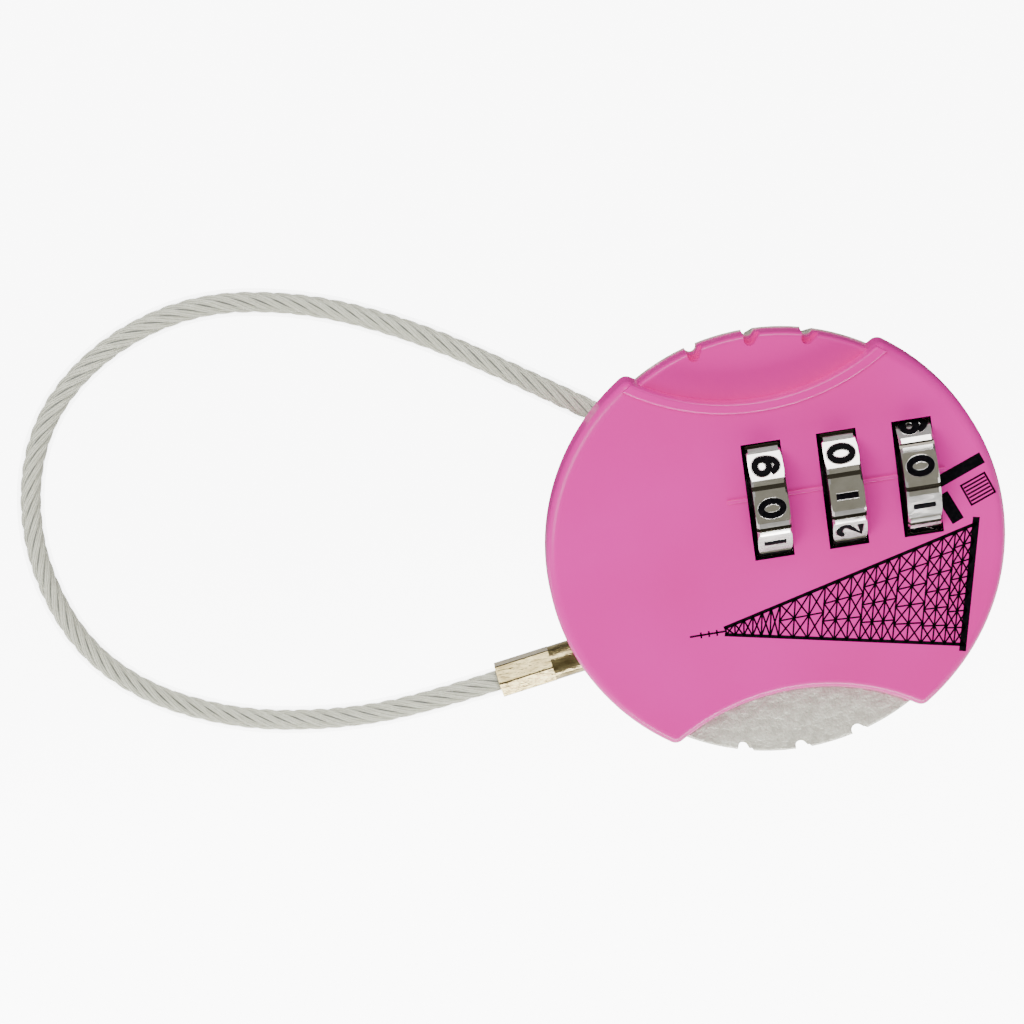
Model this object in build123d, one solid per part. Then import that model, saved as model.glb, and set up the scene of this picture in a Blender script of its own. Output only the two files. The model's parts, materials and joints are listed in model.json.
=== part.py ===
"""Three-dial cable luggage lock: round case, three combination dials, and a looped, sheathed
steel cable whose free end carries a plug that pulls out of the case.

Millimetres. The origin is the centre of the flat back. +Z is the face's outward normal, +X runs
along the dial axis away from the cable, and +Y points to the notched grip at the top of the face.
"""
from build123d import *
import math
import os

# ---------------------------------------------------------------- driving dimensions
case_r = 20.0
face_z = 11.6
rim_z = 8.8                # lower edge of the front cover
case_back_r = 17.0
case_rim_r = 19.6
floor_t = 1.0
cavity_low_r = 15.2
cavity_top_r = 17.8
cover_t = 1.3
cover_wall_t = 1.4
edge_round = 0.9

scoop_r = 19.25            # radius of the two arcs that bound the grips
scoop_offset = 32.6        # distance of each arc's centre from the case's centre
top_grip_r = 18.95         # outer radius of each grip
bottom_grip_r = 19.4
top_grip_z = 10.6
bottom_grip_z = 9.8
tip_round = 0.9
notch_r = 0.5
notch_depth = 0.95         # how far a notch reaches in from the grip's edge at the top
notch_through = 0.5        # how far the cut that goes right through reaches in
notch_fall = 0.9           # from a grip's top to the floor of its notches
notch_slope = 38.0         # lean of each notch's far wall, degrees
notch_angles = (-15.4, 0.0, 15.4)
rib_w = 1.0                # raised rib along the upper arc
rib_h = 0.2
rib_round = 0.3
lean = 17.0                # how far the body's wall leans in under the top grip, degrees
lean_r = 16.4              # radius that the leaning wall would have at the back
lean_reach = 1.9           # how far past the grip's arc the leaning wall goes

dial_pitch = 6.55
dial_x = [-0.2 + dial_pitch * i for i in range(3)]
dial_y = 4.4
dial_z = 7.7
dial_r = 6.15
dial_w = 3.0
pad_r = 5.93               # from the dial's axis to the flat pad under each digit
pad_w = 2.5
groove_w = 0.4             # groove in the middle of the ridge between two pads
groove_depth = 0.3
dial_phase = (1.1, 0.4, -15.0)   # how far each dial's nearest digit has turned past the top, degrees
digits = 10
window_left = 1.85         # from the dial's centre to each side of its window
window_right = 1.6
window_l = 10.5
index_w = 0.3              # raised line that marks the code
index_y = 4.75
index_x = (-3.8, 15.2)
index_h = 0.12

hub_r = 2.2
hub_bore_r = 1.75
hub_tail = 2.7             # reach of the hub to the left of its dial's centre
gate_t = 1.2
gate_w = 0.95
key_w = 0.8
key_r = 2.7
hub_gap = 0.1

spindle_r = 0.95
spindle_left = -9.6
spindle_right = 15.95
fin_t = 0.8
fin_gap = 0.35
fin_reach = 1.6
fin_w = 0.75

cable_r = 1.2
rope_r = 0.9
cable_z = 7.2
exit_dir = Vector(0.817, -0.576, 0)
plug_start = Vector(-25.5, -9.5, cable_z)
plug_dir = Vector(0.9873, 0.1587, 0)
sleeve_r = 1.55
sleeve_len = 11.4
hex_flat_r = 1.42          # from the plug's axis to the hexagon's flats
hex_corner_r = 1.6         # its corners are trimmed to this
hex_len = 4.9
hex_turn = -5.0            # turn of the pressed hexagon about the plug's axis, degrees
pin_r = 1.15
pin_end = 21.5
neck_r = 0.7
neck_from = 15.8
neck_to = 17.0

# route of the cable, from its anchor inside the case round the loop to the crimp sleeve
cable_route = [
    (-10.7, 11.2, 7.2),
    (-19.5, 17.4, 7.2),
    (-28.5, 22.6, 4.6),
    (-37.5, 25.7, 1.35),
    (-47.0, 27.0, 1.25),
    (-56.0, 23.9, 1.25),
    (-62.3, 17.6, 1.25),
    (-64.5, 8.2, 1.25),
    (-62.3, -1.4, 1.25),
    (-57.0, -7.6, 1.25),
    (-49.0, -11.4, 1.5),
    (-40.5, -11.7, 4.6),
    (-33.0, -10.705, 7.2),
    (-25.5, -9.5, 7.2),
]

run_gap = 0.06             # clearance round a piece that slides or turns
dial_gap = 0.25            # clearance round a dial
screw_xy = [(-12.8, 3.0), (9.5, -9.0), (2.5, 13.6)]
screw_boss_r = 1.9
screw_split_z = 5.0
screw_hole_r = 0.85
screw_pilot_r = 0.72
screw_head_r = 1.8
screw_shank_r = 0.66
screw_len = 8.2
post_xy = [(-13.4, 8.0), (-11.5, -2.2)]
post_r = 1.2
post_top = 9.2
post_pilot_r = 0.5
anchor_r = 1.7
anchor_len = 4.0
frame_x = (-5.6, 16.5)     # black comb under the cover
frame_y = (-3.0, 10.6)
frame_z = (9.3, 10.2)
frame_wall = 0.8
reset_xy = (-7.0, -1.7)
slope_x = 2.6              # from the button's axis to where its slope would meet the back
slope_gap = 0.14           # clearance between the button's slope and the clutch plate
rail_y = (-2.4, -1.0)
rail_z = (1.25, 2.6)

BASE = (Align.CENTER, Align.CENTER, Align.MIN)
plug_plane = Plane(origin=plug_start, x_dir=plug_dir, z_dir=(0, 0, 1))


# ---------------------------------------------------------------- helpers
def save(name, shape):
    """Write one node, as a single solid or as a group of separate solids."""
    solids = shape.solids()
    out = solids[0] if len(solids) == 1 else Compound(children=list(solids))
    out.label = name
    export_step(out, f"parts/{name}.step")


def block(x0, x1, y0, y1, z0, z1):
    """A box given by its two corners."""
    return Pos((x0 + x1) / 2, (y0 + y1) / 2, (z0 + z1) / 2) * Box(x1 - x0, y1 - y0, z1 - z0)


def rod(plane, x0, x1, r):
    """A cylinder along a plane's own x direction."""
    body = Pos((x0 + x1) / 2, 0, 0) * Rot(0, 90, 0) * Cylinder(r, x1 - x0)
    return plane * body


def on_axis(x0, x1, r):
    """A cylinder on the dial axis between two x positions."""
    return Pos((x0 + x1) / 2, dial_y, dial_z) * Rot(0, 90, 0) * Cylinder(r, x1 - x0)


def scoop(side, r=scoop_r):
    """The circle whose arc bounds the grip on one side (+1 top, -1 bottom)."""
    return Pos(0, side * scoop_offset) * Circle(r)


def slab(sketch, z0, z1):
    """A sketch extruded between two heights."""
    return Pos(0, 0, z0) * extrude(sketch, z1 - z0)


def notches(side, depth, bottom):
    """Cuts for the finger notches in the outer edge of one grip; their far walls lean to +X."""
    cut = []
    height = face_z - bottom
    edge_r = top_grip_r if side > 0 else bottom_grip_r
    for angle in notch_angles:
        place = Rot(0, 0, 90 * side + angle) * Pos(edge_r - depth + notch_r, 0, bottom)
        cut.append(place * Cylinder(notch_r, height, align=BASE))
        for turn in (0, -side * notch_slope):
            cut.append(place * Rot(0, 0, turn) * Pos(1, 0, height / 2) * Box(2, 2 * notch_r, height))
    return cut


def body_notches():
    """The same three notches carried down the leaning wall under the top grip."""
    cut = []
    for angle in notch_angles:
        place = Rot(0, 0, 90 + angle) * Pos(lean_r - notch_through + notch_r, 0, 0)
        cut.append(place * Rot(0, lean, 0) * Cylinder(notch_r, 3 * rim_z))
    return cut


def room(inset=0.0):
    """The space inside the case, pulled in by a margin."""
    low_r = cavity_low_r - inset
    top_r = cavity_top_r - inset
    low = Pos(0, 0, floor_t) * Cone(low_r, top_r, rim_z - floor_t, align=BASE)
    return low + Pos(0, 0, rim_z - 0.01) * Cylinder(top_r, 3, align=BASE)


def outer_top_edges(solid, z):
    """Edges of a solid lying at one height."""
    return [e for e in solid.edges() if abs(e.center().Z - z) < 1e-3]


# ---------------------------------------------------------------- case
def face_outline():
    """The face between the two arcs, with softened tips."""
    outline = Circle(case_r) - scoop(1) - scoop(-1)
    return fillet(outline.vertices(), tip_round)


def make_front_cover():
    """Pink moulded cover: face, recessed top grip, dial windows, index line and screw bosses."""
    plate = slab(face_outline(), rim_z, face_z)
    plate = fillet(outer_top_edges(plate, face_z), edge_round)
    grip = slab(Circle(top_grip_r) & scoop(1, scoop_r + 0.4), rim_z, top_grip_z)
    grip = fillet([e for e in outer_top_edges(grip, top_grip_z) if e.center().Y > 14], 0.4)
    cover = plate + grip
    band = (scoop(1, scoop_r + rib_w) - scoop(1)) & Circle(case_r - 0.4)
    rib = slab(band, face_z - 0.5, face_z + rib_h)
    arcs = [e for e in outer_top_edges(rib, face_z + rib_h) if e.length > case_r / 2]
    cover += fillet(arcs, rib_round)
    wall_scoop_r = scoop_r + cover_wall_t
    roomy = Circle(case_r - cover_wall_t) - scoop(1, wall_scoop_r) - scoop(-1, wall_scoop_r)
    cover -= slab(roomy, rim_z - 1, face_z - cover_t)
    shallow = Circle(top_grip_r - cover_wall_t) & scoop(1, scoop_r + cover_wall_t + 0.1)
    cover -= slab(shallow, rim_z - 1, top_grip_z - cover_t)
    half = index_w / 2
    line = block(*index_x, index_y - half, index_y + half, face_z - 0.3, face_z + index_h)
    cover += fillet(outer_top_edges(line, face_z + index_h), index_h / 2)
    for x in dial_x:
        half = window_l / 2
        cover -= block(x - window_left, x + window_right, dial_y - half, dial_y + half, rim_z, 13)
        cover -= on_axis(x - window_left, x + window_right, dial_r + dial_gap)
    for cut in notches(1, notch_through, 0) + notches(1, notch_depth, top_grip_z - notch_fall):
        cover -= cut
    for x, y in screw_xy:
        roof = top_grip_z - cover_t / 2 if y > 12 else face_z - cover_t / 2
        boss_z = screw_split_z + 0.1
        cover += Pos(x, y, boss_z) * Cylinder(screw_head_r, roof - boss_z, align=BASE)
        cover -= Pos(x, y, screw_split_z - 1) * Cylinder(screw_pilot_r, 5.2, align=BASE)
    return cover


def make_chassis():
    """Die-cast rear housing: dished tub with the bare-metal grip and the pockets for the works."""
    tub = Cone(case_back_r, case_rim_r, rim_z - 0.1, align=BASE)
    tub = fillet([e for e in tub.edges() if e.center().Z < 0.01], 1.2)
    tub -= slab(scoop(-1, scoop_r + 0.1) - Circle(bottom_grip_r), -1, rim_z + 1)
    lean_top_r = lean_r + rim_z * math.tan(math.radians(lean))
    tub -= slab(scoop(1, scoop_r + lean_reach), 0, rim_z) - Cone(lean_r, lean_top_r, rim_z, align=BASE)
    grip = slab(Circle(bottom_grip_r) & scoop(-1, scoop_r - 0.15), rim_z - 0.8, bottom_grip_z)
    grip = fillet(outer_top_edges(grip, bottom_grip_z), 0.35)
    cavity = room() - slab(scoop(-1, scoop_r + 2.0), 0, face_z + 1)
    tub -= cavity
    for x, y in screw_xy:
        tub += Pos(x, y, floor_t / 2) * Cylinder(screw_boss_r, screw_split_z - floor_t / 2, align=BASE)
    for x, y in post_xy:
        tub += Pos(x, y, floor_t / 2) * Cylinder(post_r, post_top - floor_t / 2, align=BASE)
    tub += plug_plane * block(11.9, 13.2, 1.45, 3.6, floor_t / 2 - cable_z, 1.4)
    cradle = Plane(origin=cable_route[0], x_dir=exit_dir, z_dir=(0, 0, 1))
    tub += cradle * block(0.1, 4.3, -2.6, 2.6, floor_t / 2 - cable_z, 0)
    tub += grip
    tub -= rod(cradle, 0.0, 5.0, anchor_r + 0.07)
    tub -= rod(cradle, -12.0, 0.05, cable_r + 0.15)
    tub -= rod(plug_plane, -2.0, 12.6, sleeve_r + 0.08)
    tub -= on_axis(15.0, 17.5, spindle_r + 0.2)
    low_notches = notches(-1, notch_through, 0) + notches(-1, notch_depth, bottom_grip_z - notch_fall)
    for cut in low_notches + body_notches():
        tub -= cut
    for x in dial_x:
        tub -= on_axis(x - dial_w / 2 - 0.3, x + dial_w / 2 + 0.3, dial_r + dial_gap)
    for x, y in screw_xy:
        tub -= Pos(x, y, -1) * Cylinder(screw_hole_r, 8, align=BASE)
        tub -= Pos(x, y, -1) * Cylinder(screw_head_r + 0.15, 1.95, align=BASE)
    for x, y in post_xy:
        tub -= Pos(x, y, 6.0) * Cylinder(post_pilot_r, 4, align=BASE)
    tub -= Pos(reset_xy[0], reset_xy[1], -1) * Cylinder(1.25, 4, align=BASE)
    return tub


def make_dial_frame():
    """Black comb under the cover that keeps the dials apart and carries the spindle."""
    frame = block(*frame_x, *frame_y, *frame_z)
    wall_top = frame_z[0] + 0.1
    walls = [(frame_x[0], frame_x[0] + frame_wall)] + [(x + 1.8, x + 2.7) for x in dial_x[:2]]
    for x0, x1 in walls:
        frame += block(x0, x1, *frame_y, floor_t + 0.15, wall_top)
    end = dial_x[2] + 1.8
    frame += block(end, end + 0.9, frame_y[0], 9.4, 3.6, wall_top)
    frame += block(end + 0.8, end + 1.8, dial_y - 2.1, dial_y + 2.1, 5.4, wall_top)
    frame &= room(0.15)
    frame -= on_axis(-4.8, end + 0.9, hub_r + 0.15)
    frame -= on_axis(-7.0, 18.0, spindle_r + run_gap)
    for x in dial_x:
        frame -= block(x - 1.9, x + 1.75, dial_y - 5.8, dial_y + 5.8, 9.0, 12.0)
        frame -= on_axis(x - dial_w / 2 - 0.2, x + dial_w / 2 + 0.2, dial_r + 0.3)
    frame -= block(-6.0, 14.2, rail_y[0] - 0.3, rail_y[1] + 0.3, 0.9, rail_z[1] + 0.3)
    frame -= block(-6.0, -4.0, rail_y[0] - 0.3, rail_y[1] + 0.3, 0.9, 3.7)
    return frame


# ---------------------------------------------------------------- code works
def make_dial(x, phase):
    """Digit ring: ten flat pads with grooved ridges between them, and ten drive slots inside."""
    dial = on_axis(x - dial_w / 2, x + dial_w / 2, dial_r)
    dial = chamfer([e for e in dial.edges() if e.geom_type == GeomType.CIRCLE], 0.2)
    dial -= on_axis(x - 2, x + 2, hub_r + hub_gap)
    dial -= on_axis(x - 0.4, x + 2, key_r + 0.2)
    pocket = Box(1.3, key_w + 0.1, 2 * (key_r + 0.1) - hub_r)
    place = Pos(x, dial_y, dial_z)
    for i in range(digits):
        step = i * 360 / digits
        slot = Rot(phase + step, 0, 0) * Pos(-0.95, 0, hub_r / 2) * pocket
        dial -= place * slot
        pad = Rot(phase + step, 0, 0) * Pos(0, 0, pad_r) * Box(4, pad_w, 1, align=BASE)
        dial -= place * pad
        between = Rot(phase + step + 180 / digits, 0, 0)
        dial -= place * between * Pos(0, 0, dial_r) * Box(4, groove_w, 2 * groove_depth)
    return dial


def make_hub(x, phase):
    """Code sleeve: a gate flange at its right end and a key that the dial's slots drive."""
    hub = on_axis(x - hub_tail, x + dial_w / 2, hub_r)
    hub -= on_axis(x - hub_tail - 1, x + dial_w / 2 - gate_t, hub_bore_r)
    hub -= on_axis(x, x + 2, spindle_r + run_gap)
    place = Pos(x, dial_y, dial_z)
    hub -= place * Pos(dial_w / 2, 0, -0.85) * Box(2 * gate_t, gate_w, 1.7)
    key = block(-1.3, -0.5, -key_w / 2, key_w / 2, hub_r - 0.3, key_r)
    hub += place * Rot(phase, 0, 0) * key
    return hub


def make_spindle():
    """Locking bar with one fin for each gate."""
    spindle = on_axis(spindle_left, spindle_right, spindle_r)
    for x in dial_x:
        right = x + dial_w / 2 - gate_t - fin_gap
        fin = block(right - fin_t, right, -fin_w / 2, fin_w / 2, -fin_reach, 0)
        spindle += Pos(0, dial_y, dial_z) * fin
    return spindle


def make_locking_arm():
    """Plate on the spindle's left end that backs the plug latch."""
    arm = block(-9.55, -8.65, -4.88, 6.1, 6.4, 9.0)
    return arm - on_axis(-12, -6, spindle_r)


def make_spindle_clip():
    clip = on_axis(-8.5, -8.1, 1.4) - on_axis(-9, -7, spindle_r)
    return clip - block(-9, -7, dial_y - 0.45, dial_y + 0.45, dial_z, dial_z + 3)


def coil(plane, length, r, wire, turns):
    """A helical spring along a plane's x direction."""
    path = Helix(length / turns, length, r)
    ring = Plane(origin=path @ 0, z_dir=path % 0) * Circle(wire)
    spring = sweep(ring, path=path, is_frenet=True)
    return plane * Rot(0, 90, 0) * spring


def make_spindle_spring():
    at = Plane(origin=(-7.9, dial_y, dial_z), x_dir=(1, 0, 0), z_dir=(0, 0, 1))
    return coil(at, 2.1, 1.2, 0.13, 4)


def make_clutch_spring():
    middle = (rail_y[0] + rail_y[1]) / 2
    at = Plane(origin=(12.95, middle, 1.95), x_dir=(1, 0, 0), z_dir=(0, 0, 1))
    return coil(at, 1.9, 0.5, 0.1, 5)


def make_clutch_plate():
    """Reset slide: a rail under the dials, a fork behind each hub, and a wedge at its left end."""
    middle = (rail_y[0] + rail_y[1]) / 2
    plate = block(-7.2, 12.7, rail_y[0], rail_y[1], rail_z[0], rail_z[1])
    plate += block(-7.2, -5.2, rail_y[0], rail_y[1], rail_z[0], 3.4)
    foot_z = 1.9
    rise = math.degrees(math.atan2(dial_z - foot_z, dial_y - middle))
    reach = math.hypot(dial_z - foot_z, dial_y - middle)
    slot = spindle_r + 0.25
    for x in dial_x:
        left = x - hub_tail - 0.9
        foot = Pos(left + 0.4, middle, foot_z) * Rot(rise, 0, 0)
        stem = foot * Pos(0, reach / 2, 0) * Box(0.8, reach, 2.4)
        ring = on_axis(left, left + 0.8, hub_r)
        fork = (stem + ring) & block(left - 1, left + 2, -4, 12, rail_z[0], 8.7)
        fork -= on_axis(left - 1, left + 2, slot)
        fork -= block(left - 1, left + 2, dial_y - slot, dial_y + slot, dial_z, 12)
        plate += fork
    foot_x = reset_xy[0] + slope_x + slope_gap
    slope = Plane(origin=(foot_x, middle, 0), x_dir=(0, 1, 0), z_dir=(-1, 0, -1))
    return plate - slope * Box(12, 12, 12, align=BASE)


def make_reset_button():
    """Push pin in the back; its sloped top drives the clutch plate sideways."""
    x, y = reset_xy
    button = Pos(x, y, 0.3) * Cylinder(1.17, 3.3, align=BASE)
    button += Pos(x, y, floor_t + 0.05) * Cylinder(1.6, 0.3, align=BASE)
    slope = Plane(origin=(x + slope_x, y, 0), x_dir=(0, 1, 0), z_dir=(1, 0, 1))
    return button - slope * Box(12, 12, 12, align=BASE)


def make_detent_spring():
    """Leaf comb whose three fingers press on the dials' rims."""
    back = dial_y + dial_r + 0.55
    leaf = block(-2.6, 13.0, back, back + 0.25, 5.2, 6.2)
    for x in dial_x:
        leaf += block(x - 0.9, min(x + 0.9, 13.0), back, back + 0.25, 6.0, 8.6)
        bump = Pos(min(x, 12.3), back + 0.15, dial_z) * Rot(0, 90, 0) * Cylinder(0.5, 1.2)
        leaf += bump
    return leaf & room(0.15)


def make_latch_leaf():
    """Spring leaf whose tooth drops into the plug's neck."""
    leaf = block(13.2, 16.9, 1.45, 1.75, -1.0, 1.0)
    leaf += block(13.2, 13.5, 1.45, 3.5, -1.0, 1.0)
    leaf += block(16.0, 16.8, 0.85, 1.6, -1.0, 1.0)
    return plug_plane * leaf


def make_plug_guide():
    """Block that the plug's nose runs in."""
    guide = plug_plane * block(19.0, 22.6, -2.2, 1.7, floor_t - cable_z, 1.8)
    return guide - rod(plug_plane, 18.0, 22.1, pin_r + run_gap)


def make_mechanism_plate():
    plate = block(-14.6, -6.3, -3.6, 9.4, 9.2, 9.55) & Cylinder(16.4, 40)
    plate -= Pos(screw_xy[0][0], screw_xy[0][1], 0) * Cylinder(2.1, 20, align=BASE)
    for x, y in post_xy:
        plate -= Pos(x, y, 0) * Cylinder(0.55, 20, align=BASE)
    return plate


def make_plate_screws():
    screws = []
    for x, y in post_xy:
        screw = Pos(x, y, 9.55) * Cylinder(1.0, 0.5, align=BASE)
        screw += Pos(x, y, 6.3) * Cylinder(0.45, 3.4, align=BASE)
        screw -= Pos(x, y, 10.0) * Box(2.4, 0.3, 0.4)
        screws.append(screw)
    return Compound(children=screws)


def make_case_screws():
    screws = []
    for x, y in screw_xy:
        screw = Pos(x, y, 0.15) * Cylinder(screw_head_r, 0.75, align=BASE)
        screw += Pos(x, y, 0.5) * Cylinder(screw_shank_r, screw_len, align=BASE)
        for turn in (0, 90):
            screw -= Pos(x, y, 0.15) * Rot(0, 0, turn) * Box(2.2, 0.45, 0.7)
        screws.append(screw)
    return Compound(children=screws)


# ---------------------------------------------------------------- cable and plug
def cable_path():
    """Straight runs joined by tangent arcs, each as large as its two runs allow."""
    points = [Vector(*p) for p in cable_route]
    radii = []
    for before, corner, after in zip(points, points[1:], points[2:]):
        turn = (corner - before).get_angle(after - corner)
        run = min((corner - before).length, (after - corner).length)
        radii.append(0.45 * run / math.tan(math.radians(turn / 2)))
    print("cable radii", [round(r, 1) for r in radii])
    return FilletPolyline(*points, radius=radii)


def make_cable():
    """The wire rope and the clear sheath around it."""
    path = cable_path()
    end = Plane(origin=path @ 0, z_dir=path % 0)
    rope = sweep(end * Circle(rope_r), path=path)
    sheath = sweep(end * (Circle(cable_r) - Circle(rope_r + 0.03)), path=path)
    print("cable length", round(path.length, 2))
    return rope, sheath


def make_cable_anchor():
    """Stop crimped on the fixed end of the rope."""
    cradle = Plane(origin=cable_route[0], x_dir=exit_dir, z_dir=(0, 0, 1))
    return rod(cradle, 0.0, anchor_len, anchor_r)


def make_crimp_sleeve():
    """Ferrule on the free end: pressed to a hexagon, then a plain shank."""
    shank = rod(plug_plane, hex_len, sleeve_len, sleeve_r - 0.02)
    hexagon = RegularPolygon(hex_flat_r, 6, major_radius=False, rotation=hex_turn)
    hex_body = Rot(0, 90, 0) * extrude(hexagon, hex_len)
    hex_body = plug_plane * hex_body
    ends = rod(plug_plane, 0, hex_len, hex_corner_r)
    return (hex_body & ends) + shank


def make_plug_pin():
    """Pin with a latch neck and a tapered nose."""
    pin = rod(plug_plane, sleeve_len, pin_end - 1.2, pin_r)
    nose = plug_plane * Pos(pin_end - 0.6, 0, 0) * Rot(0, 90, 0) * Cone(pin_r, 0.45, 1.2)
    ring = rod(plug_plane, neck_from, neck_to, 3) - rod(plug_plane, neck_from, neck_to, neck_r)
    return pin + nose - ring


# ---------------------------------------------------------------- write the nodes
os.makedirs("parts", exist_ok=True)
save("front_cover", make_front_cover())
save("chassis", make_chassis())
save("dial_frame", make_dial_frame())
for number, (x_mid, turned) in enumerate(zip(dial_x, dial_phase), start=1):
    save(f"dial_{number}", make_dial(x_mid, turned))
    save(f"hub_{number}", make_hub(x_mid, turned))
save("spindle", make_spindle())
save("locking_arm", make_locking_arm())
save("spindle_clip", make_spindle_clip())
save("spindle_spring", make_spindle_spring())
save("clutch_plate", make_clutch_plate())
save("clutch_spring", make_clutch_spring())
save("reset_button", make_reset_button())
save("detent_spring", make_detent_spring())
save("latch_leaf", make_latch_leaf())
save("plug_guide", make_plug_guide())
save("mechanism_plate", make_mechanism_plate())
save("plate_screws", make_plate_screws())
save("case_screws", make_case_screws())
wire_rope, cable_sheath = make_cable()
save("wire_rope", wire_rope)
save("cable_sheath", cable_sheath)
save("cable_anchor", make_cable_anchor())
save("crimp_sleeve", make_crimp_sleeve())
save("plug_pin", make_plug_pin())
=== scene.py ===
"""Looks for the three-dial cable luggage lock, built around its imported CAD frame.

The frame's axes: +Z out of the dial face, +X along the dial axis away from the cable, +Y towards the
notched grip above the dials. Sizes are written in millimetres and multiplied by mm where they are used.
"""

import json
import math

import bpy
import numpy as np
from mathutils import Matrix, Vector


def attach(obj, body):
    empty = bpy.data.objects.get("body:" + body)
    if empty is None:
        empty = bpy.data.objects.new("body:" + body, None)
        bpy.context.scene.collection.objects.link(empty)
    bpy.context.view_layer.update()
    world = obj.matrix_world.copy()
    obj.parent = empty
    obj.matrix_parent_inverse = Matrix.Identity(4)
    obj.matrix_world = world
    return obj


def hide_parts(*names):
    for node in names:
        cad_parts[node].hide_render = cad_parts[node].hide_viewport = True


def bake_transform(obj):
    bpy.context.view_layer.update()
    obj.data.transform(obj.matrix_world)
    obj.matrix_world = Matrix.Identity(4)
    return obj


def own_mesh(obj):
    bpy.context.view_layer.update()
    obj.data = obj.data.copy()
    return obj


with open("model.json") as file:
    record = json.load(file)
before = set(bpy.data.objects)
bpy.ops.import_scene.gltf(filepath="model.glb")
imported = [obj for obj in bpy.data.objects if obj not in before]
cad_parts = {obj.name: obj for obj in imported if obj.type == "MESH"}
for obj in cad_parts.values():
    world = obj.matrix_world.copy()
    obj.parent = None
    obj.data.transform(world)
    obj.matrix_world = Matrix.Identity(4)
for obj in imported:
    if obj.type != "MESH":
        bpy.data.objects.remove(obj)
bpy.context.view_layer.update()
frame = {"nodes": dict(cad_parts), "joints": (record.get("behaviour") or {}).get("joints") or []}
nodes = frame["nodes"]

# ---------------------------------------------------------------- sizes and places
mm = 0.001
face_z = 11.6
cable_r = 1.2
bore_r = 0.95              # inside of the clear sheath
strand_ring_r = 0.66       # from the rope's centre to each strand's centre
wire_ring_r = 0.178        # from a strand's centre to each of its wires
wire_r = 0.078
centre_wire = 1.15         # how much thicker a strand's middle wire is
core_r = 0.38
strands = 6
wires = 6
rope_lay = 9.8             # length of one turn of a strand
strand_lay = 15.0          # length of one turn of a wire inside its strand
route_steps = 32           # points read from the cable's spline for each of the route's points
sheath_sides = 40
wire_sides = 6
core_sides = 16

# route of the cable, from its anchor inside the case round the loop to the crimp sleeve
cable_route = [
    (-10.7, 11.2, 7.2),
    (-19.5, 17.4, 7.2),
    (-28.5, 22.6, 4.6),
    (-37.5, 25.7, 1.35),
    (-47.0, 27.0, 1.25),
    (-56.0, 23.9, 1.25),
    (-62.3, 17.6, 1.25),
    (-64.5, 8.2, 1.25),
    (-62.3, -1.4, 1.25),
    (-57.0, -7.6, 1.25),
    (-49.0, -11.4, 1.5),
    (-40.5, -11.7, 4.6),
    (-33.0, -10.705, 7.2),
    (-25.5, -9.5, 7.2),
]

window_half = (1.9, 5.3)   # just past half of each dial window in the cover, along X and Y
window_x = 0.12            # from a dial's centre to its window's centre, towards -X
window_left = 1.85         # from a dial's centre to each side of its window
window_right = 1.6
window_l = 10.5
liner_side = 1.3           # depth of the window's black lining at its sides and its ends
liner_end = 0.55
liner_wall = 0.02
liner_gap = 0.01
window_lip = 0.04          # depth below the face that the blackening starts at
pocket_half = (9.4, 7.5)   # half of the pocket under the dials that is painted black as shade, along X and Y
pocket_low = 0.9
pocket_r = 15.7            # the painted shade ends inside the casting's wall: its radius at the back, and how much that grows with height
pocket_flare = 0.31        # and how much that grows with height
pad_r = 5.93               # from a dial's axis to the flat pads under its digits
digit_w = 1.30             # between the centres of a digit's outer strokes
digit_h = 1.92
ink_half = 0.31            # half the width of a digit's black stroke
rim_half = 0.35            # half the width of the bright edge round the stroke
ink_rise = 0.045
rim_rise = 0.022
top_digit = (0, 1, 0)      # the digit nearest the top of each dial
digits = 10
dial_turn = (1.1, 0.4, -15.0)   # how far that digit has turned past the top, degrees

print_rise = 0.015         # how far the printed ink stands out of the face, and how far it goes in
print_sink = 0.01
coil_steps = 24            # points in each turn of a spring
coil_sides = 10

floor_fade = (-22.0, 4.0)  # across this stretch of Y the floor's glow fades
floor_glow = (1.3, 0.02)   # glow on the object from the floor in front of it and from the floor behind it
floor_seen = 9.0           # glow that the camera sees
light_distance = 0.8


# ---------------------------------------------------------------- camera
def make_camera():
    """Long lens above the face, leaning back over the top grip."""
    at = Vector((-29.155, 107.663, 338.862)) * mm
    aim = Vector((-22.011, 3.377, 0.0)) * mm
    up_hint = Vector((0.155, 0.945, -0.288))
    back = (at - aim).normalized()
    right = up_hint.cross(back).normalized()
    up = back.cross(right)
    turn = Matrix((right, up, back)).transposed().to_4x4()
    data = bpy.data.cameras.new("camera")
    data.lens = 140.3
    data.clip_start = 0.01
    data.clip_end = 20.0
    camera = bpy.data.objects.new("camera", data)
    camera.matrix_world = Matrix.Translation(at) @ turn
    bpy.context.scene.collection.objects.link(camera)
    bpy.context.scene.camera = camera


make_camera()


def joint_place(name):
    """The point that a joint turns about, in metres."""
    found = next(j for j in frame["joints"] if j["name"] == name)
    return np.array(found["pos_m"], float)


# ---------------------------------------------------------------- mesh helpers
def add_mesh(name, points, faces, smooth=True):
    """A new object from points in metres and lists of corner indices."""
    data = bpy.data.meshes.new(name)
    data.from_pydata([tuple(p) for p in points], [], faces)
    data.validate()
    data.polygons.foreach_set("use_smooth", [smooth] * len(data.polygons))
    data.update()
    piece = bpy.data.objects.new(name, data)
    bpy.context.scene.collection.objects.link(piece)
    return piece


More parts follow.
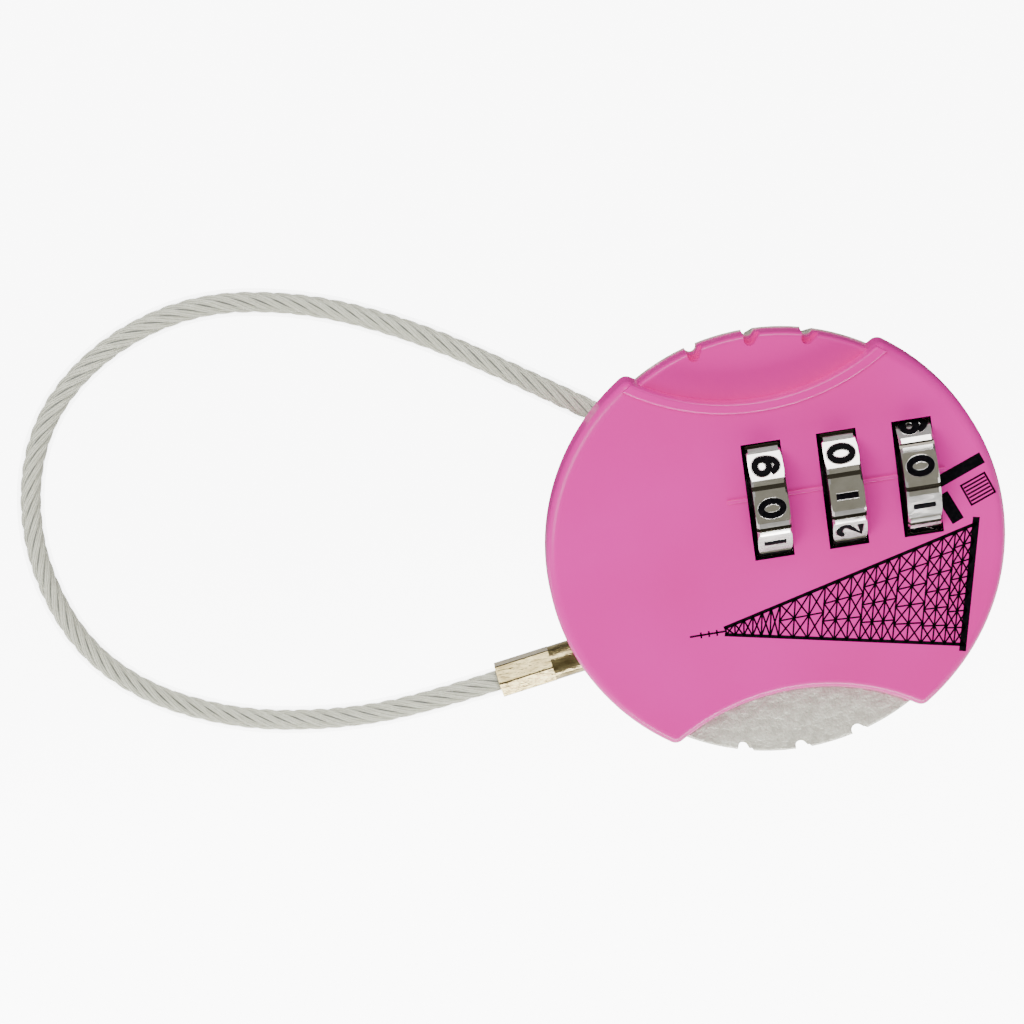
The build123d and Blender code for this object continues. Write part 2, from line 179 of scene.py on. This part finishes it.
def smooth_line(route, resolution):
    """Points along the NURBS spline that has the route's points as its control points."""
    curve = bpy.data.curves.new("route", "CURVE")
    curve.dimensions = "3D"
    spline = curve.splines.new("NURBS")
    spline.points.add(len(route) - 1)
    for control, at in zip(spline.points, route):
        control.co = (at[0] * mm, at[1] * mm, at[2] * mm, 1.0)
    spline.order_u = 3
    spline.use_endpoint_u = True
    spline.resolution_u = resolution
    holder = bpy.data.objects.new("route", curve)
    line = bpy.data.meshes.new_from_object(holder)
    points = np.array([v.co for v in line.vertices], float)
    bpy.data.objects.remove(holder)
    bpy.data.curves.remove(curve)
    bpy.data.meshes.remove(line)
    return points


def frames_along(points):
    """Two unit vectors square to the line at each point, carried along it without twisting."""
    tangents = np.gradient(points, axis=0)
    tangents /= np.linalg.norm(tangents, axis=1)[:, None]
    side = np.cross(tangents[0], (0.0, 0.0, 1.0))
    sides = []
    for tangent in tangents:
        side = side - (side @ tangent) * tangent
        side = side / np.linalg.norm(side)
        sides.append(side)
    sides = np.array(sides)
    return sides, np.cross(tangents, sides)


def length_along(points):
    """Distance from the first point to each point, measured along the line."""
    steps = np.linalg.norm(np.diff(points, axis=0), axis=1)
    return np.concatenate([[0.0], np.cumsum(steps)])


def tube(points, radius, sides, closed=True):
    """Rings of corners and the faces of a round tube about a line."""
    across, above = frames_along(points)
    angles = np.arange(sides) * 2 * math.pi / sides
    rings = (
        points[:, None]
        + radius * np.cos(angles)[None, :, None] * across[:, None]
        + radius * np.sin(angles)[None, :, None] * above[:, None]
    )
    faces = []
    for i in range(len(points) - 1):
        for j in range(sides):
            k = (j + 1) % sides
            faces.append((i * sides + j, i * sides + k, (i + 1) * sides + k, (i + 1) * sides + j))
    if closed:
        last = (len(points) - 1) * sides
        faces.append(tuple(reversed(range(sides))))
        faces.append(tuple(range(last, last + sides)))
    return rings.reshape(-1, 3), faces


def join_parts(parts):
    """Several lists of points and faces as one."""
    points, faces, start = [], [], 0
    for part_points, part_faces in parts:
        points.append(np.asarray(part_points, float))
        faces += [tuple(start + i for i in face) for face in part_faces]
        start += len(part_points)
    return np.concatenate(points), faces


# ---------------------------------------------------------------- cable
def make_sheath(line):
    """Clear tube with a real wall, open at both ends into its wall thickness only."""
    sides = sheath_sides
    outer, outer_faces = tube(line, cable_r * mm, sides, closed=False)
    inner, inner_faces = tube(line, bore_r * mm, sides, closed=False)
    inner_faces = [tuple(reversed(face)) for face in inner_faces]
    points, faces = join_parts([(outer, outer_faces), (inner, inner_faces)])
    shift = len(outer)
    last = len(outer) - sides
    for j in range(sides):
        k = (j + 1) % sides
        faces.append((k, j, shift + j, shift + k))
        faces.append((last + j, last + k, shift + last + k, shift + last + j))
    return add_mesh("cable_sheath_clear", points, faces)


def helix_about(line, across, above, distance, radius, lay, start):
    """A line that winds round another, right-handed."""
    angle = start + 2 * math.pi * distance / lay
    return line + radius * (np.cos(angle)[:, None] * across + np.sin(angle)[:, None] * above)


def make_rope(line):
    """Six right-hand strands round a core, each strand of six wires round a seventh."""
    across, above = frames_along(line)
    distance = length_along(line)
    parts = []
    for s in range(strands):
        start = 2 * math.pi * s / strands
        strand = helix_about(line, across, above, distance, strand_ring_r * mm, rope_lay * mm, start)
        strand_across, strand_above = frames_along(strand)
        parts.append(tube(strand, wire_r * mm * centre_wire, wire_sides))
        for w in range(wires):
            begin = 2 * math.pi * w / wires
            wire = helix_about(
                strand, strand_across, strand_above, distance, wire_ring_r * mm, strand_lay * mm, begin
            )
            parts.append(tube(wire, wire_r * mm, wire_sides))
    points, faces = join_parts(parts)
    return add_mesh("wire_rope_strands", points, faces)


def make_core(line):
    """Rope core, coloured dark as painted shade that shows between the strands."""
    points, faces = tube(line, core_r * mm, core_sides)
    return add_mesh("wire_rope_core", points, faces)


cable_line = smooth_line(cable_route, route_steps)
sheath = make_sheath(cable_line)
rope = make_rope(cable_line)
core = make_core(cable_line)


# ---------------------------------------------------------------- materials
def new_material(name, color, roughness, metallic=0.0, **sockets):
    """A material with its uniform values on the Principled shader's own sockets."""
    made = bpy.data.materials.new(name)
    made.use_nodes = True
    shader = made.node_tree.nodes["Principled BSDF"]
    shader.inputs["Base Color"].default_value = (*color, 1.0)
    shader.inputs["Roughness"].default_value = roughness
    shader.inputs["Metallic"].default_value = metallic
    for socket, value in sockets.items():
        label = socket.replace("_", " ").title().replace("Ior", "IOR")
        shader.inputs[label].default_value = value
    return made


def shader_of(made):
    return made.node_tree.nodes["Principled BSDF"]


def add_node(made, kind, inputs=None, **settings):
    """A shader node; inputs are numbers, colours or other nodes' output sockets."""
    node = made.node_tree.nodes.new(kind)
    for key, value in settings.items():
        setattr(node, key, value)
    for key, value in (inputs or {}).items():
        if isinstance(value, bpy.types.NodeSocket):
            made.node_tree.links.new(value, node.inputs[key])
        else:
            node.inputs[key].default_value = value
    return node


def place(made, stretch=(1, 1, 1)):
    """The piece's own coordinates in millimetres, stretched along each axis."""
    spot = add_node(made, "ShaderNodeTexCoord")
    scale = [s / mm for s in stretch]
    mapped = add_node(made, "ShaderNodeMapping", {"Vector": spot.outputs["Object"], "Scale": scale})
    return mapped.outputs["Vector"]


def noise(made, vector, scale, detail=3.0, rough=0.55):
    node = add_node(
        made, "ShaderNodeTexNoise", {"Vector": vector, "Scale": scale, "Detail": detail, "Roughness": rough}
    )
    return node.outputs["Fac"]


def ramp(made, fac, low, high, from_value=0.0, to_value=1.0):
    """A number moved from one range to another and held inside it."""
    node = add_node(
        made,
        "ShaderNodeMapRange",
        {"Value": fac, "From Min": low, "From Max": high, "To Min": from_value, "To Max": to_value},
    )
    return node.outputs["Result"]


def mix(made, fac, one, other):
    """A blend of two colours; either may be another node's output. Inputs 6 and 7 are the colours."""
    node = made.node_tree.nodes.new("ShaderNodeMix")
    node.data_type = "RGBA"
    for index, value in ((0, fac), (6, one), (7, other)):
        if isinstance(value, bpy.types.NodeSocket):
            made.node_tree.links.new(value, node.inputs[index])
        else:
            node.inputs[index].default_value = value if index == 0 else (*value, 1.0)
    return node.outputs[2]


def set_color(made, socket):
    made.node_tree.links.new(socket, shader_of(made).inputs["Base Color"])


def set_roughness(made, socket):
    made.node_tree.links.new(socket, shader_of(made).inputs["Roughness"])


def set_bump(made, height, depth, strength=1.0):
    """Relief of a given depth in millimetres."""
    node = add_node(
        made, "ShaderNodeBump", {"Height": height, "Distance": depth * mm, "Strength": strength}
    )
    made.node_tree.links.new(node.outputs["Normal"], shader_of(made).inputs["Normal"])


def mottled(name, color, other, roughness, metallic, mottle, grain, depth, stretch=(1, 1, 1), **sockets):
    """Two close tones in soft patches, roughness that varies, and a fine grain.

    mottle and grain are patches per millimetre, and depth is the grain's depth in millimetres.
    """
    made = new_material(name, color, roughness, metallic, **sockets)
    spot = place(made, stretch)
    patches = noise(made, spot, mottle, 4.0)
    set_color(made, mix(made, ramp(made, patches, 0.35, 0.65), color, other))
    smears = noise(made, spot, mottle * 2.3, 3.0)
    set_roughness(made, ramp(made, smears, 0.3, 0.7, roughness * 0.8, min(1.0, roughness * 1.25)))
    set_bump(made, noise(made, spot, grain, 2.0), depth)
    return made


def math_node(made, operation, one, other=0.0):
    node = add_node(made, "ShaderNodeMath", {0: one, 1: other}, operation=operation)
    return node.outputs[0]


def sum_of_squares(made, one, other):
    squares = [math_node(made, "MULTIPLY", value, value) for value in (one, other)]
    return math_node(made, "ADD", *squares)


def all_of(made, *tests):
    """1 where every test is 1, and 0 elsewhere."""
    found = tests[0]
    for test in tests[1:]:
        found = math_node(made, "MULTIPLY", found, test)
    return found


def axes_of(made, spot):
    """The X, Y and Z of a place."""
    split = add_node(made, "ShaderNodeSeparateXYZ", {"Vector": spot})
    return [split.outputs[axis] for axis in "XYZ"]


def near(made, value, centre, half):
    """1 where a coordinate is within half of centre, and 0 elsewhere."""
    away = math_node(made, "ABSOLUTE", math_node(made, "SUBTRACT", value, centre))
    return math_node(made, "LESS_THAN", away, half)


def in_windows(made, spot):
    """1 on the walls of the dial windows and behind them, and 0 on the face."""
    x, y, z = axes_of(made, spot)
    found = None
    for number in (1, 2, 3):
        centre = joint_place(f"dial_{number}_spin") / mm
        across = near(made, x, float(centre[0]) - window_x, window_half[0])
        along = near(made, y, float(centre[1]), window_half[1])
        one = all_of(made, across, along)
        found = one if found is None else math_node(made, "MAXIMUM", found, one)
    return all_of(made, found, math_node(made, "LESS_THAN", z, face_z - window_lip))


def pink_plastic():
    """Glossy moulded ABS: faint flow tone, fine orange peel, blackened window walls."""
    pink = (0.93, 0.011, 0.44)
    deeper = (0.86, 0.009, 0.37)
    made = new_material("pink_abs", pink, 0.3, coat_weight=0.15, coat_roughness=0.1)
    spot = place(made)
    flow = noise(made, spot, 0.05, 2.0)
    tone = mix(made, ramp(made, flow, 0.35, 0.65), pink, deeper)
    set_color(made, mix(made, in_windows(made, spot), tone, (0.006, 0.005, 0.006)))
    peel = noise(made, spot, 0.9, 3.0)
    set_roughness(made, ramp(made, peel, 0.35, 0.75, 0.28, 0.36))
    set_bump(made, noise(made, spot, 1.4, 2.0), 0.005)
    return made


def cast_metal():
    """Hammered and nickel-washed zinc with fine darker specks, and painted shade: near black in the dial
    pockets.
    """
    light = (0.94, 0.935, 0.81)
    dark = (0.74, 0.725, 0.60)
    made = new_material("cast_zinc", light, 0.42, 0.35)
    spot = place(made)
    grain = noise(made, spot, 4.0, 4.0, 0.65)
    dimples = noise(made, spot, 1.1, 3.0)
    tone = mix(made, ramp(made, grain, 0.34, 0.56), dark, light)
    tone = mix(made, ramp(made, dimples, 0.36, 0.6, 0.55, 0.0), tone, (0.56, 0.54, 0.45))
    x, y, z = axes_of(made, spot)
    middle = joint_place("dial_2_spin") / mm
    flare = math_node(made, "MULTIPLY", z, pocket_flare)
    away = math_node(made, "SUBTRACT", math_node(made, "SQRT", sum_of_squares(made, x, y)), flare)
    # painted shade: the casting is coloured near black in the pocket under the dials, where shade falls
    inside = all_of(
        made,
        near(made, x, float(middle[0]), pocket_half[0]),
        near(made, y, float(middle[1]), pocket_half[1]),
        math_node(made, "GREATER_THAN", z, pocket_low),
        math_node(made, "LESS_THAN", away, pocket_r),
    )
    set_color(made, mix(made, inside, tone, (0.012, 0.012, 0.012)))
    set_roughness(made, ramp(made, grain, 0.3, 0.7, 0.5, 0.36))
    relief = math_node(made, "ADD", math_node(made, "MULTIPLY", grain, 0.25), dimples)
    set_bump(made, relief, 0.22, 1.0)
    return made


def dial_plating():
    """Bright plating over a wavy casting, with lengthwise polishing marks and painted shade in the grooves
    between its pads.
    """
    light = (0.80, 0.78, 0.75)
    made = new_material("dial_plating", light, 0.14, 1.0)
    marks = noise(made, place(made, (0.4, 3.0, 3.0)), 2.0, 4.0, 0.6)
    spot = place(made)
    haze = noise(made, spot, 0.9, 3.0)
    tone = mix(made, ramp(made, haze, 0.35, 0.7), light, (0.70, 0.68, 0.64))
    _, y, z = axes_of(made, spot)
    _, axis_y, axis_z = joint_place("dial_1_spin") / mm
    up = math_node(made, "SUBTRACT", y, float(axis_y))
    out = math_node(made, "SUBTRACT", z, float(axis_z))
    # painted shade: below the pads, in the grooves, the plating is coloured dark
    groove = math_node(made, "LESS_THAN", sum_of_squares(made, up, out), (pad_r - 0.02) ** 2)
    set_color(made, mix(made, groove, tone, (0.12, 0.108, 0.09)))
    set_roughness(made, ramp(made, marks, 0.3, 0.75, 0.1, 0.26))
    waves = noise(made, place(made, (0.7, 1.0, 1.0)), 0.4, 1.0)
    set_bump(made, math_node(made, "ADD", waves, math_node(made, "MULTIPLY", marks, 0.05)), 0.05)
    return made


def clear_vinyl():
    """Clear extruded vinyl with faint haze, thin enough that it hardly bends the light."""
    made = new_material("clear_vinyl", (0.93, 0.955, 0.88), 0.12, alpha=0.12)
    haze = noise(made, place(made, (0.5, 0.5, 0.5)), 0.7, 3.0)
    set_roughness(made, ramp(made, haze, 0.3, 0.7, 0.06, 0.2))
    set_bump(made, noise(made, place(made), 0.8, 2.0), 0.01)
    return made


def printed_ink():
    """Black pad-printing ink, slightly uneven in tone."""
    made = new_material("printed_ink", (0.008, 0.007, 0.009), 0.45, specular_ior_level=0.03)
    film = noise(made, place(made), 3.0, 4.0)
    set_color(made, mix(made, ramp(made, film, 0.45, 0.8), (0.002, 0.002, 0.003), (0.008, 0.006, 0.008)))
    set_roughness(made, ramp(made, film, 0.3, 0.7, 0.4, 0.6))
    set_bump(made, film, 0.003)
    return made


def finishes():
    """Every material, by the name it is used under."""
    made = {
        "pink": pink_plastic(),
        "zinc": cast_metal(),
        "dial": dial_plating(),
        "sheath": clear_vinyl(),
        "ink": printed_ink(),
    }
    # name, two tones, roughness, metallic, mottle, grain, depth and, for some, the stretch along each axis
    plain = {
        "black": ("black_acetal", (0.012, 0.012, 0.013), (0.02, 0.02, 0.021), 0.5, 0, 0.4, 6, 0.006),
        "brass": (
            "turned_brass", (0.62, 0.45, 0.19), (0.5, 0.34, 0.13), 0.3, 1, 0.5, 3, 0.006, (4, 0.6, 0.6)
        ),
        "steel": ("zinc_plated_steel", (0.52, 0.53, 0.55), (0.4, 0.41, 0.42), 0.33, 1, 0.5, 4, 0.006),
        "spring": ("spring_steel", (0.44, 0.44, 0.45), (0.3, 0.3, 0.31), 0.28, 1, 0.8, 5, 0.004),
        "screw": ("screw_steel", (0.34, 0.34, 0.35), (0.22, 0.22, 0.23), 0.38, 1, 0.9, 5, 0.008),
        # the core's dark tones are painted shade between the strands
        "core": ("dark_core_painted_shade", (0.10, 0.10, 0.075), (0.05, 0.05, 0.04), 0.5, 0, 1.2, 5, 0.01),
        "wire": ("bright_wire", (0.99, 0.985, 0.83), (0.80, 0.80, 0.64), 0.3, 0, 3.2, 6, 0.008),
        "nickel": (
            "nickel_plating",
            (0.43, 0.355, 0.175), (0.24, 0.185, 0.085), 0.19, 1, 1.9, 2.5, 0.04, (0.5, 1.4, 1.4),
        ),
    }
    for name, look in plain.items():
        made[name] = mottled(*look)
    lining = ("matt_lining", (0.004, 0.004, 0.004), (0.007, 0.006, 0.006), 0.9, 0, 2, 5, 0.01)
    made["liner"] = mottled(*lining, specular_ior_level=0.02)
    return made


finish = finishes()
finish_of = {
    "front_cover": "pink",
    "chassis": "zinc",
    "dial_frame": "black",
    "clutch_plate": "black",
    "dial_1": "dial",
    "dial_2": "dial",
    "dial_3": "dial",
    "hub_1": "black",
    "hub_2": "black",
    "hub_3": "black",
    "plug_guide": "brass",
    "spindle": "steel",
    "locking_arm": "steel",
    "mechanism_plate": "steel",
    "reset_button": "steel",
    "spindle_clip": "spring",
    "spindle_spring": "spring",
    "clutch_spring": "spring",
    "detent_spring": "spring",
    "latch_leaf": "spring",
    "plate_screws": "screw",
    "case_screws": "screw",
    "wire_rope": "wire",
    "cable_sheath": "sheath",
    "cable_anchor": "nickel",
    "crimp_sleeve": "nickel",
    "plug_pin": "nickel",
}


def paint(piece, name):
    """The piece shows one finish all over."""
    piece.data.materials.clear()
    piece.data.materials.append(finish[name])


for node_name, finish_name in finish_of.items():
    paint(nodes[node_name], finish_name)

paint(sheath, "sheath")
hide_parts("cable_sheath")
for piece, finish_name in ((rope, "wire"), (core, "core")):
    paint(piece, finish_name)
    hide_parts("wire_rope")


# ---------------------------------------------------------------- springs
def make_spring(name, start, length, radius, wire, turns):
    """A round-wire coil along +X, fixed to the case."""
    share = np.linspace(0.0, 1.0, turns * coil_steps + 1)
    angle = 2 * math.pi * turns * share
    points = np.stack([length * share, radius * np.cos(angle), radius * np.sin(angle)], axis=1)
    points = (points + np.array(start)) * mm
    piece = add_mesh(f"{name}_coil", *tube(points, wire * mm, coil_sides))
    paint(piece, finish_of[name])
    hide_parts(name)
    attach(piece, "case")
    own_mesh(piece)


make_spring(
    "spindle_spring",
    start=(-7.9, 4.4, 7.7), length=2.1, radius=1.2, wire=0.13, turns=4,
)
make_spring(
    "clutch_spring",
    start=(12.95, -1.7, 1.95), length=1.9, radius=0.5, wire=0.1, turns=5,
)


# ---------------------------------------------------------------- digits
def arc(cx, cy, rx, ry, start, end, steps=14):
    """Points on an ellipse between two angles in degrees."""
    points = []
    for i in range(steps + 1):
        angle = math.radians(start + (end - start) * i / steps)
        points.append((cx + rx * math.cos(angle), cy + ry * math.sin(angle)))
    return points


def turned(strokes):
    """Strokes turned half round."""
    return [([(-x, -y) for x, y in line], closed) for line, closed in strokes]


def digit_strokes(digit):
    """A digit's strokes in a box from -1 to 1 each way, each with whether it closes on itself."""
    six = [
        (arc(0, -0.36, 1.0, 0.64, 0, 360, 28)[:-1], True),
        (arc(0, -0.1, 1.0, 1.1, 186, 26), False),
    ]
    eight = [
        (arc(0, 0.52, 0.82, 0.48, 0, 360, 24)[:-1], True),
        (arc(0, -0.46, 1.0, 0.54, 0, 360, 24)[:-1], True),
    ]
    shapes = {
        0: [(arc(0, 0, 1.0, 1.0, 0, 360, 36)[:-1], True)],
        1: [([(0, -1), (0, 1)], False)],
        2: [(arc(0, 0.42, 0.95, 0.58, 165, -30) + [(-0.9, -0.95), (1, -0.95)], False)],
        3: [(arc(0, 0.5, 0.85, 0.5, 155, -80) + arc(0, -0.46, 1.0, 0.54, 80, -155), False)],
        4: [([(0.45, -1), (0.45, 1), (-1, -0.42), (1, -0.42)], False)],
        5: [([(0.85, 1), (-0.75, 1), (-0.85, 0.1)] + arc(0, -0.36, 1.0, 0.64, 140, -150), False)],
        6: six,
        7: [([(-1, 1), (1, 1), (-0.3, -1)], False)],
        8: eight,
        9: turned(six),
    }
    return shapes[digit]


def bead(strokes, half, rise, turn):
    """A digit as a flattened bead of one stroke width, lying on its pad at a turn past the top."""
    curve = bpy.data.curves.new("bead", "CURVE")
    curve.dimensions = "3D"
    curve.bevel_depth = half * mm
    curve.bevel_resolution = 3
    curve.use_fill_caps = True
    for line, closed in strokes:
        spline = curve.splines.new("POLY")
        spline.points.add(len(line) - 1)
        for control, (x, y) in zip(spline.points, line):
            control.co = (x * digit_w / 2 * mm, y * digit_h / 2 * mm, 0.0, 1.0)
        spline.use_cyclic_u = closed
    holder = bpy.data.objects.new("bead", curve)
    shape = bpy.data.meshes.new_from_object(holder)
    points = np.array([v.co for v in shape.vertices], float)
    faces = [tuple(p.vertices) for p in shape.polygons]
    bpy.data.objects.remove(holder)
    bpy.data.curves.remove(curve)
    bpy.data.meshes.remove(shape)
    height = points[:, 2] * rise / half + pad_r * mm
    angle = math.radians(turn)
    along = points[:, 0]
    up = -points[:, 1]
    out_y = along * math.cos(angle) - height * math.sin(angle)
    out_z = along * math.sin(angle) + height * math.cos(angle)
    return np.stack([up, out_y, out_z], axis=1), faces


def make_digits(number):
    """The ten digits of one dial: black strokes, each in its bright engraved edge."""
    body = f"dial_{number}"
    centre = joint_place(f"{body}_spin")
    for kind, half, rise, finish_name in (
        ("ink", ink_half, ink_rise, "ink"),
        ("rims", rim_half, rim_rise, "dial"),
    ):
        parts = []
        for digit in range(digits):
            turn = dial_turn[number - 1] + 360 / digits * (digit - top_digit[number - 1])
            points, faces = bead(digit_strokes(digit), half, rise, turn)
            parts.append((points + centre, faces))
        piece = add_mesh(f"digit_{kind}_{number}", *join_parts(parts))
        paint(piece, finish_name)
        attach(piece, body)


for dial_number in (1, 2, 3):
    make_digits(dial_number)


# ---------------------------------------------------------------- window liners
def make_liners():
    """Matt black lining inside the three dial windows, shallower at the ends, where the dials come close."""
    parts = []
    wall = liner_wall
    side_low = face_z - liner_side
    end_low = face_z - liner_end
    high = face_z - window_lip
    half = window_l / 2 - liner_gap
    for number in (1, 2, 3):
        x, y, _ = joint_place(f"dial_{number}_spin") / mm
        left, right = x - window_left + liner_gap, x + window_right - liner_gap
        near_y, far_y = y - half, y + half
        for x0, x1, y0, y1, low in (
            (left, left + wall, near_y, far_y, side_low),
            (right - wall, right, near_y, far_y, side_low),
            (left, right, near_y, near_y + wall, end_low),
            (left, right, far_y - wall, far_y, end_low),
        ):
            flat = [(x0, y0), (x1, y0), (x1, y1), (x0, y1)]
            corners = [(a * mm, b * mm, c * mm) for c in (low, high) for a, b in flat]
            faces = [(3, 2, 1, 0), (4, 5, 6, 7)]
            faces += [(i, (i + 1) % 4, (i + 1) % 4 + 4, i + 4) for i in range(4)]
            parts.append((corners, faces))
    piece = add_mesh("window_liners", *join_parts(parts), smooth=False)
    paint(piece, "liner")
    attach(piece, "case")


make_liners()


# ---------------------------------------------------------------- printed artwork
def bar(start, end, width, z=face_z):
    """A printed line: a thin flat strip from one point of the face to another."""
    a = Vector((start[0], start[1], 0.0))
    b = Vector((end[0], end[1], 0.0))
    along = (b - a).normalized()
    side = Vector((-along.y, along.x, 0.0)) * width / 2
    a = a - along * width / 2
    b = b + along * width / 2
    low = [a - side, b - side, b + side, a + side]
    points = [(p.x * mm, p.y * mm, (z - print_sink) * mm) for p in low]
    points += [(p.x * mm, p.y * mm, (z + print_rise) * mm) for p in low]
    faces = [(4, 5, 6, 7), (3, 2, 1, 0)]
    faces += [(i, (i + 1) % 4, (i + 1) % 4 + 4, i + 4) for i in range(4)]
    return points, faces


def between(a, b, share):
    return (a[0] + (b[0] - a[0]) * share, a[1] + (b[1] - a[1]) * share)


def make_mast_print():
    """A plain lattice radio mast lying along the face: two straight legs, crossed braces, thin rungs."""
    tip = (-8.5, -6.8)
    top = ((-5.4, -6.45), (-5.4, -7.1))
    foot = ((17.3, -0.6), (15.0, -11.4))
    shares = (0.0, 0.22, 0.4, 0.56, 0.7, 0.82, 0.92, 1.0)
    thin = 0.14
    parts = [bar(tip, between(*top, 0.5), 0.16)]
    for x in (-7.6, -6.9, -6.2):
        parts.append(bar((x, -6.6), (x, -7.0), 0.14))
    for upper_end, lower_end in zip(top, foot):
        parts.append(bar(upper_end, lower_end, 0.3))
    for lanes, (share, next_share) in enumerate(zip(shares, shares[1:]), start=1):
        bays = 6 if lanes == 1 else 3 if lanes < 5 else 2
        for bay in range(bays):
            near_share = share + (next_share - share) * bay / bays
            far_share = share + (next_share - share) * (bay + 1) / bays
            near_up, near_low = (between(a, b, near_share) for a, b in zip(top, foot))
            far_up, far_low = (between(a, b, far_share) for a, b in zip(top, foot))
            parts.append(bar(near_up, near_low, thin))
            for lane in range(lanes):
                a = between(near_up, near_low, lane / lanes)
                b = between(near_up, near_low, (lane + 1) / lanes)
                c = between(far_up, far_low, lane / lanes)
                d = between(far_up, far_low, (lane + 1) / lanes)
                parts.append(bar(a, d, thin))
                parts.append(bar(b, c, thin))
                if lane:
                    parts.append(bar(a, c, thin))
    over = 0.3 / math.dist(*foot)
    parts.append(bar(between(*foot, -over), between(*foot, 1 + over), 0.6))
    return parts


def make_tag_print():
    """A plain luggage tag on its strap, up by the last dial."""
    strap = ((14.75, 3.75), (18.0, 5.05))
    corner = Vector((16.4, 3.0))
    along = Vector((0.93, 0.37))
    down = Vector((0.37, -0.93))
    size = (2.3, 2.0)

    def spot(u, v):
        at = corner + along * u * size[0] + down * v * size[1]
        return (at.x, at.y)

    parts = [bar(*strap, 1.05), bar((14.9, 2.0), (15.6, 0.4), 1.1)]
    outline = [spot(0, 0), spot(1, 0), spot(1, 1), spot(0, 1)]
    for a, b in zip(outline, outline[1:] + outline[:1]):
        parts.append(bar(a, b, 0.16))
    for row in range(1, 6):
        parts.append(bar(spot(0.08, row / 6), spot(0.92, row / 6), 0.15))
    return parts


def make_print():
    """All the ink on the face as one piece."""
    piece = add_mesh("face_print", *join_parts(make_mast_print() + make_tag_print()), smooth=False)
    paint(piece, "ink")
    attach(piece, "case")


make_print()


# ---------------------------------------------------------------- floor and light
def make_floor():
    """Wide pale table top: white to the camera, and light in front and dark behind to the object."""
    half = 1.5
    low = -0.04 * mm
    corners = [(-half, -half, low), (half, -half, low), (half, half, low), (-half, half, low)]
    floor = add_mesh("floor", corners, [(0, 1, 2, 3)], smooth=False)
    made = new_material("pale_table", (0.9, 0.9, 0.9), 0.6, emission_color=(1.0, 1.0, 1.0, 1.0))
    _, y, _ = axes_of(made, place(made))
    shaded = ramp(made, y, *floor_fade)
    set_color(made, mix(made, shaded, (0.9, 0.9, 0.9), (0.05, 0.05, 0.05)))
    cast = ramp(made, shaded, 0.0, 1.0, *floor_glow)
    rays = add_node(made, "ShaderNodeLightPath")
    glow = ramp(made, rays.outputs["Is Camera Ray"], 0.0, 1.0, cast, floor_seen)
    made.node_tree.links.new(glow, shader_of(made).inputs["Emission Strength"])
    floor.data.materials.append(made)


def make_world():
    """White room with a darker patch overhead."""
    world = bpy.data.worlds.new("studio")
    world.use_nodes = True
    bpy.context.scene.world = world
    tree = world.node_tree
    back = tree.nodes["Background"]
    spot = tree.nodes.new("ShaderNodeTexCoord")
    split = tree.nodes.new("ShaderNodeSeparateXYZ")
    tree.links.new(spot.outputs["Generated"], split.inputs["Vector"])
    tones = tree.nodes.new("ShaderNodeValToRGB")
    tones.color_ramp.elements[0].position = 0.72
    tones.color_ramp.elements[0].color = (1.0, 1.0, 1.0, 1.0)
    tones.color_ramp.elements[1].position = 0.82
    tones.color_ramp.elements[1].color = (0.62, 0.60, 0.49, 1.0)
    tree.links.new(split.outputs["Z"], tones.inputs["Fac"])
    tree.links.new(tones.outputs["Color"], back.inputs["Color"])
    back.inputs["Strength"].default_value = 0.5


def make_light(name, azimuth, elevation, size, power, aim=(-0.015, 0.005, 0.005)):
    """A soft box that faces the object. Azimuth is measured from +X towards +Y."""
    a, e = math.radians(azimuth), math.radians(elevation)
    away = Vector((math.cos(a) * math.cos(e), math.sin(a) * math.cos(e), math.sin(e)))
    data = bpy.data.lights.new(name, "AREA")
    data.shape = "RECTANGLE"
    data.size, data.size_y = size
    data.energy = power
    light = bpy.data.objects.new(name, data)
    light.location = Vector(aim) + away * light_distance
    light.rotation_mode = "QUATERNION"
    light.rotation_quaternion = away.to_track_quat("Z", "Y")
    bpy.context.scene.collection.objects.link(light)


make_floor()
make_world()
make_light("back_box", azimuth=92, elevation=35, size=(0.7, 0.35), power=5.0)
make_light("front_box", azimuth=270, elevation=20, size=(0.9, 0.14), power=7.5)
make_light("left_box", azimuth=165, elevation=42, size=(0.6, 0.4), power=3.5)

for piece in (sheath, rope, core):
    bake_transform(piece)
